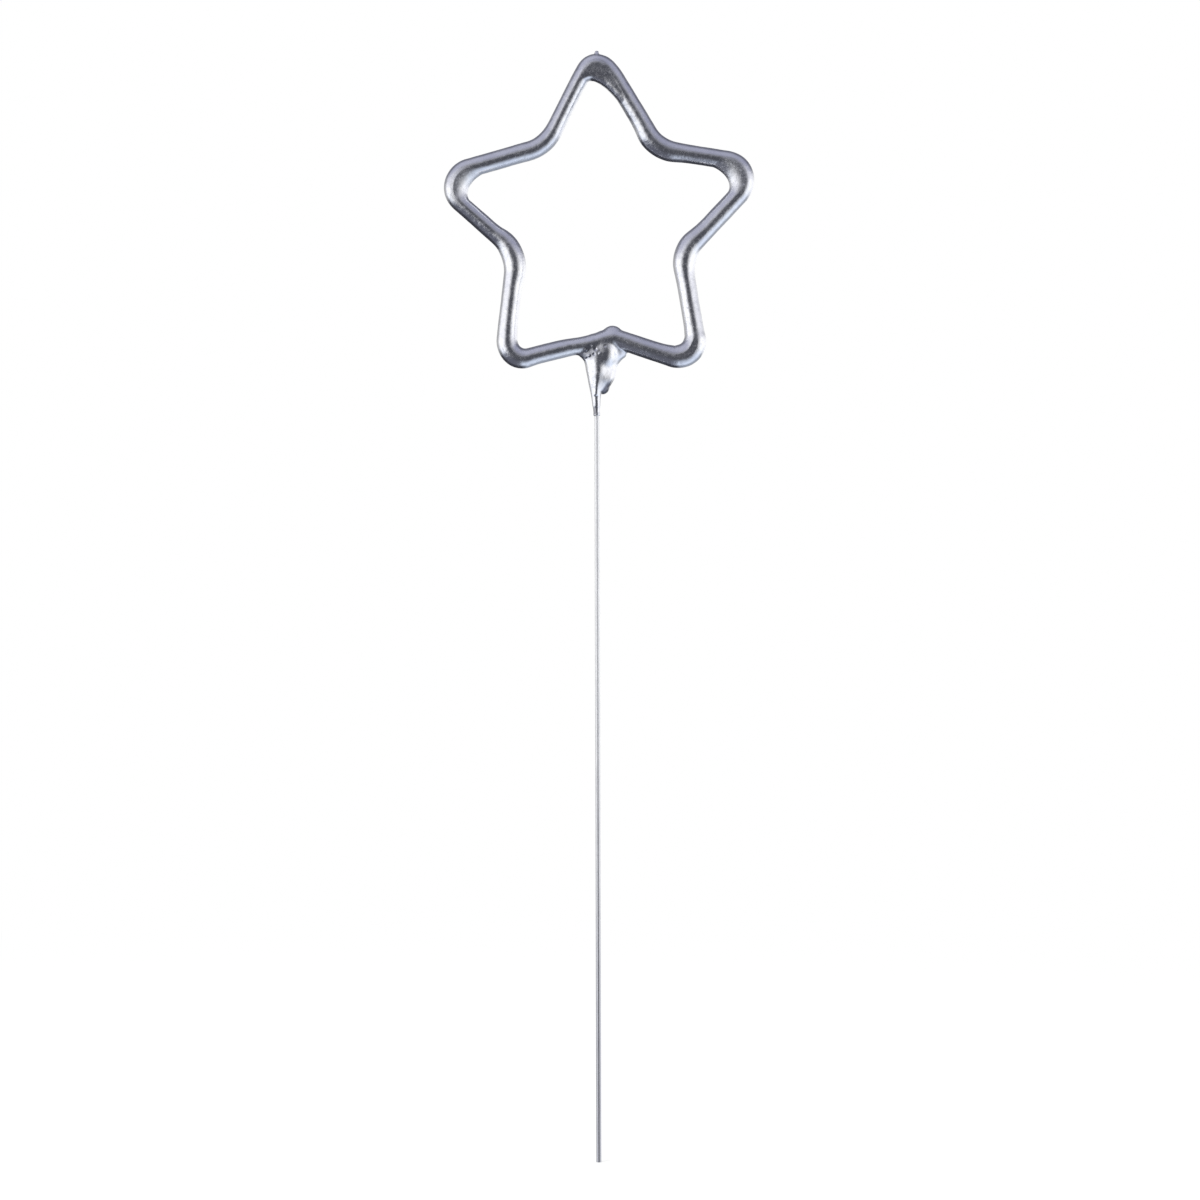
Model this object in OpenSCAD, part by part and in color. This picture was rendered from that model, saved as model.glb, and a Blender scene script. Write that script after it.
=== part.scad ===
// A hand-held sparkler with a star-shaped head.
// One steel wire is bent into a stem, a star and a short tail. A grey spark mix is dried on
// the star, and a thin silver lacquer covers the mix and laps on to the bare wire below it.
// Millimetres. The stem stands on its cut foot at the origin with +Z up the stem. The star lies
// in the XZ plane, +X is to its right as seen from the front, and +Y is to the back.

/* [Wire] */
// diameter of the steel wire
wire_d = 0.8; // [0.6:0.05:1.2]
// bare stem, from the cut foot up to the lower edge of the coat
stem_h = 121; // [80:1:180]
// height from the lower edge of the coat to the bend that starts the left arm
neck_h = 11.8; // [11:0.1:14]
// how far the wire leans to the left on its way up the neck
neck_lean = 0.45; // [0.3:0.05:0.8]
// radius of the slight bend where the neck starts to lean
lean_bend = 20; // [15:1:30]
// radius of the bend from the neck into the left arm
neck_bend = 1.6; // [1.2:0.1:2]
// radius of the bend from the right arm into the tail
tail_bend = 1.2; // [0.8:0.1:1.4]
// how far the tail's bend stands to the right of the neck's bend
tail_aside = 3; // [2.6:0.1:3.6]
// how far the tail's bend stands above the neck's bend
tail_rise = 1; // [0.6:0.1:1.4]
// length of the tail from its bend down to its cut end
tail_len = 8; // [5:0.5:8.5]
// distance of the tail's cut end from the middle of the neck's wire
tail_gap = 1.3; // [1.3:0.1:2]
// how far the tail lies behind the neck
tail_back = 0.8; // [0:0.1:0.9]

/* [Star] */
// height from the neck's bend up to the middle of the star
star_rise = 19.2; // [18:0.1:21]
// middle of the star, to the right of the stem
star_aside = 0.5; // [0:0.1:1]
// middle of the star to the sharp corners of its five tips
tip_ring = 28.2; // [27:0.1:31]
// middle of the star to the corners of its two upper valleys
upper_ring = 15.4; // [14:0.1:17]
// middle of the star to the corners of its two lower valleys
lower_ring = 14.2; // [13:0.1:16]
// radius of the wire's bends at the tips
tip_bend = 3.1; // [2.9:0.1:3.8]
// radius of the wire's bends at the valleys
valley_bend = 6.2; // [5:0.1:7]
// share of the wander left by bending the wire by hand (1 is as bent, 0 is a true star)
wander = 1; // [0:0.1:1]

/* [Coat] */
// half the coat's width on a plain leg, lacquer included
leg_half = 1.5; // [1.4:0.02:1.8]
// half the coat's thickness from front to back, lacquer included
leg_depth = 1.56; // [1.4:0.02:1.9]
// thickness of the silver lacquer
skin = 0.15; // [0.1:0.01:0.2]
// share of the mix that gathered in the bends as it dried (1 is as dried, 0 is none)
pooling = 1; // [0:0.1:1.1]
// length of the lacquer's lap on the bare wire below the mix
lap = 1.7; // [1.2:0.1:2.2]
// length of the rounded end of the mix below the tail's cut end
tail_drop = 1.3; // [1:0.1:1.8]
// diameter of the dried drip on the top tip
drip_d = 0.7; // [0.5:0.05:1]
// height of that drip above the coat
drip_h = 0.52; // [0.3:0.02:0.7]
// drip's distance to the right of the top tip's middle
drip_aside = 0.2; // [0:0.05:0.4]

/* [Hidden] */
// fineness of the true round stem
$fn = 48;
// number of sides round the coat, and round the bent wire inside it
coat_sides = 14;
wire_sides = 10;
// largest turn from one section to the next round a bend, degrees
turn_step = 16;
// length from one section of the coat to the next along a straight
straight_step = 2.6;
// how far the bent wire runs down inside the top of the stem, and how much slimmer it is there
seat = 0.5;
seat_slack = 0.005;
// distance from a bend's middle over which the gathered mix stays full, and where it has gone,
// first inside the bend and then outside it
pool_full = [1.6, 0.4];
pool_gone = [5.4, 4];
// least distance left between the coat's inner edge and the centre of the bend it follows
bend_room = 0.3;
// lacquer left on the bare wire at the coat's lower edge
lap_edge = 0.1;
// radius of the coat's path across the joint, where left arm, right arm and neck run together
joint_bend = 3;
// how deep the drip's foot is sunk in the lacquer
drip_sunk = 0.4;

wire_r = wire_d / 2;
lean_at = [0, stem_h];
neck_bend_at = [-neck_lean, stem_h + neck_h];
tail_bend_at = neck_bend_at + [tail_aside, tail_rise];
star_mid = [star_aside, neck_bend_at.y + star_rise];
tail_end_y = tail_bend_at.y - tail_len;
tail_end = [tail_gap - neck_lean * (tail_end_y - stem_h) / neck_h, tail_end_y];
// height above the tail's bend where the tail starts to go back, and the height that it takes
back_from = 0.5;
back_over = 3.5;

// The star's corners, clockwise from the lower left tip. In each row: wander outward, wander
// round in degrees, wander of the bend radius, mix gathered inside, mix gathered outside.
star_rows = [
    [-0.6, -1.7, -0.1, 0.3, 0.15],
    [0, -0.9, 0.6, 0.45, 0.2],
    [-0.2, -2.5, 0.2, -0.2, 0.1],
    [0, 1.6, 0.4, 0.05, 0.05],
    [0.5, -1.2, -1.1, 0.1, -0.4],
    [0, 1, 0, 0.3, 0.2],
    [0.1, -1.4, 0.3, -0.1, 0.4],
    [0, 1.2, -1.1, 0.35, 0.4],
    [0.1, 0.4, 0, 0.55, 0.35]
];
// The webs of mix inside three tips: corner of the coat's loop, reach down the leg before it and
// down the leg after it from the inner corner between them, and how square the web's outline is
// from front to back (2 is round, less is drawn to an edge).
web_rows = [[3, 4.6, 6.7, 1.75], [5, 3.3, 7.6, 4], [7, 6.8, 4.9, 1.9]];
// Uneven thickness of the mix on each leg after each corner of the coat's loop, from the left
// arm clockwise to the short bridge across the joint: inside, outside.
leg_rows = [
    [0.3, -0.35],
    [-0.05, 0.18],
    [-0.1, -0.1],
    [0, 0.1],
    [-0.1, -0.15],
    [-0.1, 0.2],
    [0, 0],
    [-0.1, 0.3],
    [0.2, -0.1],
    [0, 0.15],
    [0, 0]
];
// half depth of the neck where it is thickest, as a share of a plain leg's
neck_depth = 0.86;
// How the mix swells up the neck: share of the neck's height, share of a plain leg's thickness.
neck_rows = [[0.24, 0.2], [0.42, 0.55], [0.63, 1], [0.78, 1.45], [0.82, 1.9], [0.86, 2.5], [0.92, 1.6]];
// How the mix lies down the tail: share of its length, thickness added on the side away from
// the neck, where a web fills the corner under the right arm and the end is drawn to a drop.
tail_rows = [
    [0, 0.1], [0.2, 1], [0.33, 1.3], [0.4, 0.8], [0.48, 0.4], [0.6, 0.15], [0.8, 0.1], [1, -0.5]
];

// ---- bends and headings ----
function heading(v) = atan2(v.y, v.x);
function turn(u, v) = let (d = heading(v) - heading(u)) d - 360 * round(d / 360);
function ahead(a) = [cos(a), sin(a)];
function aside(a) = [-sin(a), cos(a)];
function reach(bend, t) = bend * tan(abs(t) / 2);
function arc_half(bend, t) = bend * abs(t) * PI / 360;

// place on the wire at a distance x from the middle of a tip's bend
function by_bend(i, x) =
    let (
        here = loop_corners[i], u = heading(here - loop_corners[i - 1]),
        v = heading(loop_corners[i + 1] - here), t = turn(ahead(u), ahead(v)),
        bend = loop_bends[i], half = arc_half(bend, t), r = reach(bend, t), over = abs(x) - half
    )
    over > 0 ? here + sign(x) * (r + over) * ahead(x < 0 ? u : v)
    : here - r * ahead(u) + bend * (aside(u + t / 2 * (1 + x / half)) - aside(u));

// the bare stem ends where the slight bend into the neck begins
stem_top = stem_h - reach(lean_bend, turn([0, 1], neck_bend_at - lean_at));

star_corners = [
    for (i = [0:8])
        let (
            row = star_rows[i],
            ring = i % 2 == 0 ? tip_ring : (i == 3 || i == 5 ? upper_ring : lower_ring),
            a = 36 * (6 + i) + wander * row[1]
        )
        star_mid + (ring + wander * row[0]) * [sin(a), cos(a)]
];
star_bends = [
    for (i = [0:8]) (i % 2 == 0 ? tip_bend : valley_bend) + wander * star_rows[i][2]
];

wire_corners = concat(
    [[0, stem_top - seat], lean_at, neck_bend_at], star_corners, [tail_bend_at, tail_end]
);
wire_bends = concat([0, lean_bend, neck_bend], star_bends, [tail_bend, 0]);

// The coat follows the wire round the star and closes straight across the joint.
loop_corners = concat([neck_bend_at], star_corners, [tail_bend_at]);
loop_bends = concat([joint_bend], star_bends, [joint_bend]);
loop_pools = concat(
    [[0, 0]], [for (row = star_rows) pooling * [row[3], row[4]]], [[0, 0]]
);

// Sections along a path of straights and bends, each
// [place, heading, leg, nearest bend, distance from the middle of that bend].
function stations(corners, bends, spacing, loop = false) =
    let (n = len(corners))
    [
        for (i = [0:n - 1])
            let (
                first = !loop && i == 0, last = !loop && i == n - 1, next = (i + 1) % n,
                back = (i + n - 1) % n, here = corners[i],
                v = last ? here - corners[back] : corners[next] - here,
                u = first ? v : here - corners[back],
                w = !loop && next >= n - 1 ? v : corners[(i + 2) % n] - corners[next],
                t = turn(u, v), t_next = turn(v, w), side = sign(t),
                r = reach(bends[i], t), r_next = reach(bends[next], t_next),
                centre = here - r * ahead(heading(u)) + side * bends[i] * aside(heading(u)),
                half = arc_half(bends[i], t), half_next = arc_half(bends[next], t_next),
                steps = ceil(abs(t) / turn_step),
                run = last ? 0 : norm(v) - r - r_next,
                gaps = max(1, round(run / spacing))
            )
            each concat(
                steps == 0 ? [[here, heading(v), i, i, 0]] : [
                    for (j = [0:steps])
                        let (a = heading(u) + t * j / steps)
                        [
                            centre - side * bends[i] * aside(a), a,
                            2 * j < steps ? back : i, i, abs(2 * j / steps - 1) * half
                        ]
                ],
                [
                    for (j = [1:1:gaps - 1])
                        let (x = run * j / gaps, near = half + x < half_next + run - x)
                        [
                            here + (r + x) * ahead(heading(v)), heading(v), i,
                            near ? i : next, near ? half + x : half_next + run - x
                        ]
                ]
            )
    ];

// how far back the tail lies at a height
function back_at(y) =
    let (share = (tail_bend_at.y + back_from - y) / back_over)
    tail_back * (1 - cos(180 * min(1, max(0, share)))) / 2;

// ---- outlines of the coat: [place, heading, right half, left half, half depth] and, where they
// are needed, [way back, squareness]. Most are ovals, thickest half way across. With a squareness
// an outline is thickest over its place, round to its left and square to its right. ----
function pool(d, k) =
    d < pool_full[k] ? 1 :
    d > pool_gone[k] ? 0 :
    (1 + cos(180 * (d - pool_full[k]) / (pool_gone[k] - pool_full[k]))) / 2;

function loop_sections(cut) = [
    for (s = stations(loop_corners, loop_bends, straight_step, true))
        let (
            leg = leg_rows[s[2]], bend = loop_pools[s[3]],
            extra = [for (k = [0, 1]) leg[k] + (bend[k] - leg[k]) * pool(s[4], k)],
            swell = pooling * (extra[0] + extra[1]) / 6
        )
        [
            s[0], s[1],
            min(leg_half + extra[0], loop_bends[s[3]] - bend_room) - cut,
            leg_half + extra[1] - cut,
            leg_depth + swell - cut
        ]
];

// A run of outlines ends in a dome: rings of falling width past the last place.
function dome(place, a, right, left, depth, length, back = false) =
    let (rings = back ? [72, 50, 25] : [25, 50, 72], way = back ? -1 : 1)
    [
        for (e = rings)
            [
                place + way * length * sin(e) * ahead(a), a,
                right * cos(e), left * cos(e), depth * cos(e)
            ]
    ];

neck_heading = heading(neck_bend_at - lean_at);
neck_full = leg_half - skin - wire_r;
neck_top = 1.1;

function neck_place(d) = lean_at + d * ahead(neck_heading);

function neck_section(d, share, cut) =
    let (half = wire_r + neck_full * share + skin - cut)
    [neck_place(d), neck_heading, half, half, min(half, neck_depth * leg_depth - cut)];

// The mix starts above the lap, and the lacquer runs on down to the lower edge of the coat.
function neck_sections(cut) =
    let (
        share = neck_top,
        half = wire_r + neck_full * share + skin - cut,
        lower = wire_r + lap_edge, over = wire_r + skin
    )
    concat(
        cut > 0 ? [] : [
            [neck_place(0), neck_heading, lower, lower, lower],
            [neck_place(0.8 * lap), neck_heading, over, over, over]
        ],
        [neck_section(lap, 0.1, cut)],
        [for (row = neck_rows) neck_section(row[0] * neck_h, row[1], cut)],
        dome(neck_place(neck_h), neck_heading, half, half, neck_depth * leg_depth - cut, half)
    );

tail_heading = heading(tail_end - tail_bend_at);
// the mix is thicker where it bulges over the tail's bend
tail_bulge = 0.35;

// The tail's coat starts as a dome over its bend and ends in a drop below the cut end.
function tail_sections(cut) =
    let (
        half = leg_half - cut, depth = 0.88 * leg_depth - cut,
        over = half + tail_bulge,
        length = norm(tail_end - tail_bend_at),
        ends = tail_rows[len(tail_rows) - 1][1],
        run = concat(
            dome(tail_bend_at, tail_heading, over, over, depth, over, true),
            [
                for (row = tail_rows)
                    [
                        tail_bend_at + row[0] * length * ahead(tail_heading), tail_heading,
                        half, half + row[1], depth
                    ]
            ],
            dome(tail_end, tail_heading, half, half + ends, depth, tail_drop - cut)
        )
    )
    [for (s = run) concat(s, back_at(s[0].y))];

// The lump over the joint, where mix from arms, neck and tail ran together: its middle, its
// halves to the left and right of it, its half depth, and its reach down and up.
lump_mid = [neck_bend_at.x + 1.25, neck_bend_at.y - 1.5];
lump_left = 1.6;
lump_right = 2.6;
lump_depth = leg_depth + 0.14;
lump_down = 3;
lump_up = 3.6;

function lump_sections(cut) =
    let (a = heading([0, 1]), right = lump_right - cut, left = lump_left - cut, deep = lump_depth - cut)
    concat(
        dome(lump_mid, a, right, left, deep, lump_down - cut, true),
        [[lump_mid, a, right, left, deep]],
        dome(lump_mid, a, right, left, deep, lump_up - cut)
    );

// The mix that filled the inside of a tip: outlines from the wire in to a free edge, which
// curves from the inner side of one leg over to the other.
web_left = 1;
web_sunk = 0.15;
web_steps = 10;

function web_sections(row, cut) =
    let (
        i = row[0], corner = loop_corners[i],
        u = heading(corner - loop_corners[i - 1]), v = heading(loop_corners[i + 1] - corner),
        t = turn(ahead(u), ahead(v)), h = leg_half - web_sunk, foot = h * tan(abs(t) / 2),
        inner = corner - foot * ahead(u) - h * aside(u),
        ends = [inner - row[1] * ahead(u), inner + row[2] * ahead(v)],
        half = arc_half(loop_bends[i], t) - reach(loop_bends[i], t) + foot
    )
    [
        for (j = [0:web_steps])
            let (
                w = j / web_steps, p = (1 - w) ^ 2, q = 2 * cos(t / 2) * w * (1 - w), r = w ^ 2,
                edge = (p * ends[0] + q * inner + r * ends[1]) / (p + q + r),
                wire = by_bend(i, (2 * w - 1) * (half + row[w < 0.5 ? 1 : 2])),
                full = sin(180 * w)
            )
            [
                wire, heading(wire - edge) - 90, norm(wire - edge) - cut, web_left - cut,
                (0.97 + 0.06 * full) * leg_depth - cut, 0, 2 + (row[3] - 2) * full
            ]
    ];

// The drip dried on the top tip, which hung lowest while the head dried upside down.
top = 5;
top_u = loop_corners[top] - loop_corners[top - 1];
top_v = loop_corners[top + 1] - loop_corners[top];
top_turn = turn(top_u, top_v);
top_out = aside(heading(top_u) + top_turn / 2);
top_of_coat = loop_corners[top] + top_out *
    (loop_bends[top] * (1 - 1 / cos(top_turn / 2)) + leg_half + loop_pools[top][1]);
drip_foot = top_of_coat + [drip_aside, -drip_sunk];

function drip_sections() =
    let (r = drip_d / 2, up = heading([0, 1]), long = drip_h + drip_sunk)
    concat(
        [[drip_foot, up, r, r, r]],
        dome(drip_foot + [0, long - r], up, r, r, r, r)
    );

// Skins a run of outlines into one closed solid.
module swept(sections, sides, loop = false) {
    n = len(sections);
    points = [
        for (s = sections, k = [0:sides - 1])
            let (
                c = cos(360 * k / sides), h = sin(360 * k / sides),
                power = is_undef(s[6]) || c > 0 ? 1 : 2 / s[6],
                across = is_undef(s[6]) ? (s[3] - s[2]) / 2 + (s[3] + s[2]) / 2 * c
                    : c > 0 ? s[3] * c : -s[2] * (-c) ^ power,
                p = s[0] + across * aside(s[1])
            )
            [p.x, p.y, s[4] * sign(h) * abs(h) ^ power - (is_undef(s[5]) ? 0 : s[5])]
    ];
    walls = [
        for (i = [0:loop ? n - 1 : n - 2], k = [0:sides - 1])
            let (
                a = i * sides + k, b = i * sides + (k + 1) % sides,
                c = (i + 1) % n * sides + (k + 1) % sides, d = (i + 1) % n * sides + k
            )
            each [[a, d, c], [a, c, b]]
    ];
    ends = loop ? [] : [
        [for (k = [0:sides - 1]) k],
        [for (k = [sides - 1:-1:0]) (n - 1) * sides + k]
    ];
    polyhedron(points, concat(walls, ends));
}

module coat(cut) {
    swept(loop_sections(cut), coat_sides, true);
    swept(neck_sections(cut), coat_sides);
    swept(tail_sections(cut), coat_sides);
    swept(lump_sections(cut), coat_sides);
    for (row = web_rows) swept(web_sections(row, cut), coat_sides);
}

module bare_stem() {
    rotate([-90, 0, 0]) cylinder(h = stem_top, r = wire_r);
}

module bent_wire() {
    r = wire_r - seat_slack;
    tail_corner = len(wire_corners) - 2;
    swept(
        [
            for (s = stations(wire_corners, wire_bends, 1000))
                [s[0], s[1], r, r, r, s[3] < tail_corner ? 0 : back_at(s[0].y)]
        ],
        wire_sides
    );
}

// ---- the pieces ----
module core_wire() {
    color("#8a8d96") rotate([90, 0, 0]) {
        bare_stem();
        bent_wire();
    }
}

module spark_composition() {
    color("#6b6a68") rotate([90, 0, 0]) difference() {
        coat(skin);
        bent_wire();
    }
}

module silver_lacquer() {
    color("#c9c9d6") rotate([90, 0, 0]) difference() {
        union() {
            coat(0);
            swept(drip_sections(), coat_sides);
        }
        coat(skin);
        bent_wire();
    }
}

core_wire();
spark_composition();
silver_lacquer();
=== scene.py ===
"""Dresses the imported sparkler: the silver lacquer as one smooth, slightly uneven skin, and the
materials of wire, mix and lacquer, in a plain white studio with the photograph's camera.

The skin is laid out in millimetres with the same named values as the part's source: x to the
right and h up the stem, with the star's plane as the drawing plane and +Y to the back. It ends in
metres. Angles are in degrees.
"""

import math

import bpy
import numpy as np
from mathutils import Matrix, Vector, noise
from mathutils.bvhtree import BVHTree


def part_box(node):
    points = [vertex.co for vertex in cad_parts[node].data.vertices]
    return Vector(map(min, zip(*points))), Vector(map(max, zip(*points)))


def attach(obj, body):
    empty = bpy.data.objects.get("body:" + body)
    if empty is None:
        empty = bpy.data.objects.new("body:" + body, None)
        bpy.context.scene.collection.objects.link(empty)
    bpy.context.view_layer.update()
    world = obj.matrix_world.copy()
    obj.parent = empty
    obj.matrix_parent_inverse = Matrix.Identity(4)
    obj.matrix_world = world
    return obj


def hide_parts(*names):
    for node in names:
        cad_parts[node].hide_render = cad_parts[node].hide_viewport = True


MM = 0.001

# ---- the wire's route, as in the part's source, mm ----
WIRE_R = 0.4
STEM_H = 121.0
NECK_H = 11.8
NECK_LEAN = 0.45
TAIL_ASIDE = 3.0
TAIL_RISE = 1.0
TAIL_LEN = 8.0
TAIL_GAP = 1.3
TAIL_BACK = 0.8
BACK_FROM = 0.5
BACK_OVER = 3.5
STAR_RISE = 19.2
STAR_ASIDE = 0.5
# Turn from one corner of the star to the next, and steps clockwise from the top to the first.
STAR_STEP = 36
STAR_FIRST = 6
TIP_RING = 28.2
UPPER_RING = 15.4
LOWER_RING = 14.2
UPPER_VALLEYS = (3, 5)
TIP_BEND = 3.1
VALLEY_BEND = 6.2
JOINT_BEND = 3.0
# Corners of the coat's loop: 0 is the neck's bend, and the star's nine corners follow.
LEFT_TIP = 3
TOP_TIP = 5
RIGHT_TIP = 7

# ---- the coat, as in the part's source, mm ----
LEG_HALF = 1.5
LEG_DEPTH = 1.56
SKIN = 0.15
LAP = 1.7
LAP_EDGE = 0.1
TAIL_DROP = 1.3
TAIL_BULGE = 0.35
DRIP_D = 0.7
DRIP_H = 0.52
DRIP_ASIDE = 0.2
DRIP_SUNK = 0.4
BEND_ROOM = 0.3
# How far from a bend's middle its gathered mix is full, and gone: inside, outside.
POOL_FULL = (1.6, 0.4)
POOL_GONE = (5.4, 4.0)
# Width added to a leg for each unit of half depth added with it.
WIDTH_TO_DEPTH = 6

# Corners clockwise from the lower left tip: wander outward, wander round in degrees, wander of
# the bend radius, mix gathered inside, mix gathered outside.
STAR_ROWS = (
    (-0.6, -1.7, -0.1, 0.3, 0.15),
    (0.0, -0.9, 0.6, 0.45, 0.2),
    (-0.2, -2.5, 0.2, -0.2, 0.1),
    (0.0, 1.6, 0.4, 0.05, 0.05),
    (0.5, -1.2, -1.1, 0.1, -0.4),
    (0.0, 1.0, 0.0, 0.3, 0.2),
    (0.1, -1.4, 0.3, -0.1, 0.4),
    (0.0, 1.2, -1.1, 0.35, 0.4),
    (0.1, 0.4, 0.0, 0.55, 0.35),
)
# The webs of mix inside three tips: corner of the coat's loop, reach down the leg before it and
# down the leg after it from the inner corner between them, squareness (2 is round), half the
# web's width on its outer side, and how far inside the wire its crest lies.
WEB_ROWS = (
    (LEFT_TIP, 4.6, 6.7, 1.75, 1.0, 0.0),
    (TOP_TIP, 3.3, 7.6, 4.0, 0.9, 0.55),
    (RIGHT_TIP, 6.8, 4.9, 1.9, 1.0, 0.0),
)
WEB_SUNK = 0.15
# Half depth of a web at its ends as a share of a plain leg's, what its middle has over that, and
# the same where the crest lies inside the wire.
WEB_DEPTH = 0.97
WEB_CROWN = 0.06
WEB_CROWN_INSIDE = 0.03
# The top tip's coat is shallower over the wire than inside it.
TOP_SUNK = 0.03
# Uneven thickness of each leg after each corner of the coat's loop: inside, outside.
LEG_ROWS = (
    (0.3, -0.35),
    (-0.05, 0.18),
    (-0.1, -0.1),
    (0.0, 0.1),
    (-0.1, -0.15),
    (-0.1, 0.2),
    (0.0, 0.0),
    (-0.1, 0.3),
    (0.2, -0.1),
    (0.0, 0.15),
    (0.0, 0.0),
)
# Share of the neck's height and share of a plain leg's thickness there.
NECK_ROWS = (
    (0.24, 0.2),
    (0.42, 0.55),
    (0.63, 1.0),
    (0.78, 1.45),
    (0.82, 1.9),
    (0.86, 2.5),
    (0.92, 1.6),
)
# Share of a plain leg's thickness at the lap's upper edge and at the neck's bend.
LAP_TOP = 0.1
NECK_TOP = 1.1
# Over the lap's lower edge: where mix starts under the lacquer, and the bead's height, the end of
# its full part and its own end.
LAP_MIX_FROM = 1.1
BEAD_HIGH = 0.06
BEAD_FULL = 0.1
BEAD_GONE = 0.7
# Half depth of the neck where it is thickest, and of the tail, as shares of a plain leg's.
NECK_DEPTH = 0.86
TAIL_DEPTH = 0.88
# Share of the tail's length over which its bulge on the neck's side runs out.
TAIL_BULGE_GONE = 0.2
# Share of the tail's length and thickness added on the side away from the neck.
TAIL_ROWS = (
    (0.0, 0.1),
    (0.2, 1.0),
    (0.33, 1.3),
    (0.4, 0.8),
    (0.48, 0.4),
    (0.6, 0.15),
    (0.8, 0.1),
    (1.0, -0.5),
)
# The lump over the joint: middle from the neck's bend, halves, depth, and reach down and up.
LUMP_MID = (1.25, -1.5)
LUMP_LEFT = 1.6
LUMP_RIGHT = 2.6
LUMP_DEPTH = LEG_DEPTH + 0.14
LUMP_DOWN = 3.0
LUMP_UP = 3.6
# The bridge of mix between neck and tail: height, right end, and how far back that end lies.
BRIDGE_ROWS = (
    (124.3, 0.35, 0.3),
    (125.3, 1.6, 0.3),
    (126.0, 2.15, 0.2),
    (127.0, 2.65, 0.0),
    (128.0, 3.0, 0.25),
    (129.0, 3.2, 0.3),
    (130.0, 3.5, 0.25),
    (131.0, 3.9, 0.15),
    (132.0, 4.2, 0.1),
)
BRIDGE_END = 0.75
BRIDGE_SHARP = 1.6
# The bridge's ridge over the neck: how far it stands aside, the heights between which it comes to
# that, its half depth as a share of its half width and at most as a share of a plain leg's, and
# the most of the neck's thickness that it follows.
RIDGE_ASIDE = 0.5
RIDGE_FROM = 124.0
RIDGE_FULL = 129.0
RIDGE_DEPTH = 1.12
RIDGE_DEPTH_MOST = 1.02
RIDGE_NECK_MOST = 1.15

# ---- fineness and surface of the skin, mm, and degrees for the two bent steps ----
SIDES = 48
STRAIGHT_STEP = 0.4
ARC_STEP = 4.0
DOME_STEP = 6
NECK_STEPS = 60
TAIL_STEPS = 40
BRIDGE_STEPS = 40
WEB_STEPS = 41
LEG_PASSES = 6
VOXEL = 0.1
# Smoothing of the skin: passes, share of the way to the neighbours' middle, and share back out.
SKIN_PASSES = 12
SKIN_SHRINK = 0.5
SKIN_SWELL = 0.52
JOINT_PASSES = 90
JOINT_REACH = 6.0
JOINT_DOWN = 1.5
TAIL_PASSES = 40
TAIL_REACH = 4.0
WEB_PASSES = 40
WEB_REACH = 9.0
PLACE_SHRINK = 0.4
PLACE_SWELL = 0.41
# How steeply the smoothing round a place comes in from its reach.
NEAR_SLOPE = 1.5
# The least thickness of the skin over the mix.
COVER = 0.025
WAVE_LONG = 3.2
WAVE_LONG_HIGH = 0.035
WAVE_SHORT = 0.9
WAVE_SHORT_HIGH = 0.012
WAVE_SHORT_AT = Vector((7, 3, 5))
# Bubbles and pits by the joint: x, h, radius, height (a pit where it is below 0).
BUBBLES = (
    (-1.75, 131.6, 0.42, 0.11),
    (-1.2, 130.7, 0.34, 0.09),
    (-0.45, 130.9, 0.3, -0.1),
    (-1.6, 130.2, 0.28, -0.09),
    (-0.2, 131.7, 0.34, -0.09),
    (0.5, 131.0, 0.3, 0.07),
    (1.4, 132.2, 0.26, -0.06),
    (-0.9, 132.3, 0.26, -0.07),
)

# How far forward or back a bubble's face starts, and how far aside the back's bubbles lie.
BUBBLE_FACE = 0.4
BUBBLE_BACK_ASIDE = 0.3

# ---- the lacquer's look: tones, how much each one takes, and places in mm ----
SILVER_GREY = (0.84, 0.847, 0.9, 1)
SILVER_PALE = (0.92, 0.925, 0.955, 1)
DULL_TONE = (0.5, 0.51, 0.58, 1)
DULL_SHARE = 0.24
FLAKE_TONE = (0.97, 0.97, 1.0, 1)
FLAKE_SHARE = 0.2
# Painted shade where the left arm meets the neck: tone, share and middle.
JOINT_SHADE_TONE = (0.45, 0.46, 0.52, 1)
JOINT_SHADE_SHARE = 0.75
JOINT_SHADE_AT = (-1.1, 131.3)
# Painted shade along the tail's lower edge, and the dark fleck at the lap's edge: tone and share.
EDGE_SHADE_AND_FLECK_TONE = (0.13, 0.13, 0.16, 1)
EDGE_SHADE_AND_FLECK_SHARE = 0.92
# Where the painted shade lies: a point of the tail's lower edge, and the way out from it to the
# right and down.
TAIL_EDGE_AT = (1.66, 125.63)
TAIL_EDGE_OUT = (0.831, 0.557)
# The dark fleck at the lap's edge is longer up the stem than across it by 1 / squeeze.
LAP_FLECK_AT = (-0.32, 121.8)
LAP_FLECK_SQUEEZE = 0.35
LAP_FLECK_SHARE = 0.8
WEB_ROUGH_INSIDE = 2
WEB_ROUGH_MORE = 0.13

# ---- the wire's and the mix's look ----
STEEL_FOOT = (0.47, 0.475, 0.52, 1)
STEEL_UPPER = (0.98, 0.98, 0.985, 1)
STEEL_WORN = (0.25, 0.25, 0.29, 1)
STEEL_CLOUD_LIFT = 14.0
MIX_DARK = (0.16, 0.155, 0.15, 1)
MIX_LIGHT = (0.36, 0.35, 0.335, 1)
MIX_GRAIN = (0.62, 0.62, 0.64, 1)

# ---- the room: tones, and places by the direction's parts to the right, to the front and up ----
WALL_LEVEL = 1.25
CEILING_LEFT = (0.46, 0.47, 0.57, 1)
CEILING_RIGHT = (0.34, 0.35, 0.45, 1)
GROUND_TONE = (0.85, 0.94, 1.1, 1)
TABLE_TONE = (0.12, 0.125, 0.155, 1)
TABLE_WAY = (-0.54, -0.84)
SCREEN_TONE = (0.074, 0.077, 0.09, 1)
SCREEN_RIGHT = 0.13
SCREEN_DOWN = 0.13
SCREEN_WIDE = 0.56
SCREEN_TALL = 0.68
LEAST_SPAN = 0.001
PLAIN_LIGHT = 0.85
FLOOR_HALF = 3.0
FLOOR_LEVEL = 0.9
FLOOR_SUNK = 0.02

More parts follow.
